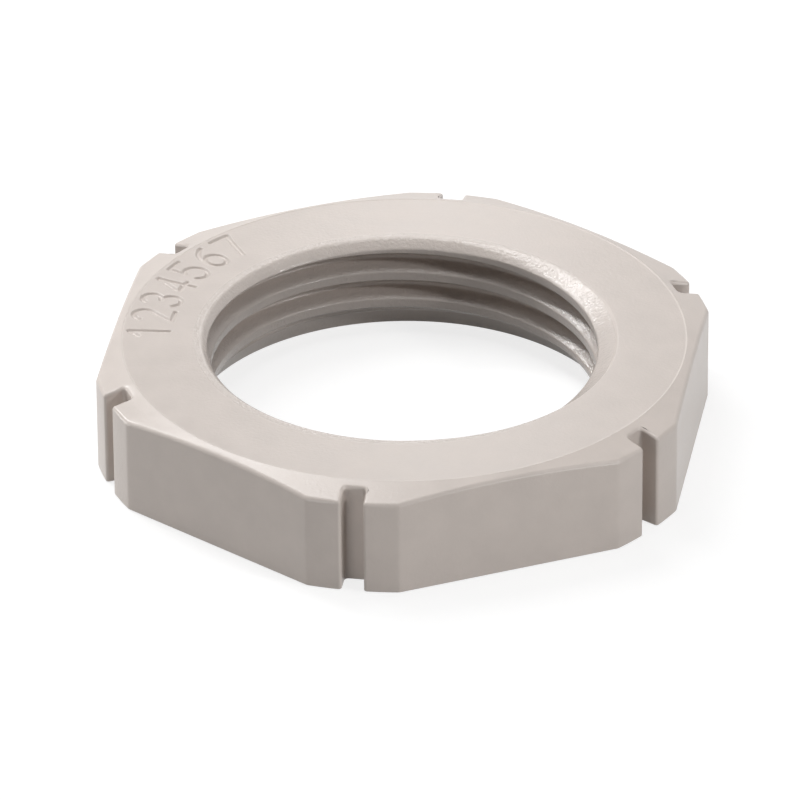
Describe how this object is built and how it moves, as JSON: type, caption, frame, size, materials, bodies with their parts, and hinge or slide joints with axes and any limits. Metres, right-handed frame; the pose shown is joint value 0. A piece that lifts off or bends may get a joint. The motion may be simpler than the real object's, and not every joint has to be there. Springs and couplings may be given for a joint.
{
  "type": "cable gland locknut",
  "caption": "Flat moulded locknut with a metric internal thread, countersunk bore, slotted rounded corners and a shallow conical top rim.",
  "frame": {"origin": "on the thread axis, in the plane of the flat underside", "axes": "+Z along the thread axis, from the plain underside to the top ring; the flats face along X, and +Y passes through a slotted corner"},
  "size_m": [0.028, 0.03, 0.0052],
  "materials": {
    "polyamide": "moulded, light warm grey, satin with a fine texture"
  },
  "bodies": {
    "root": {"locknut": "polyamide"}
  },
  "joints": []
}
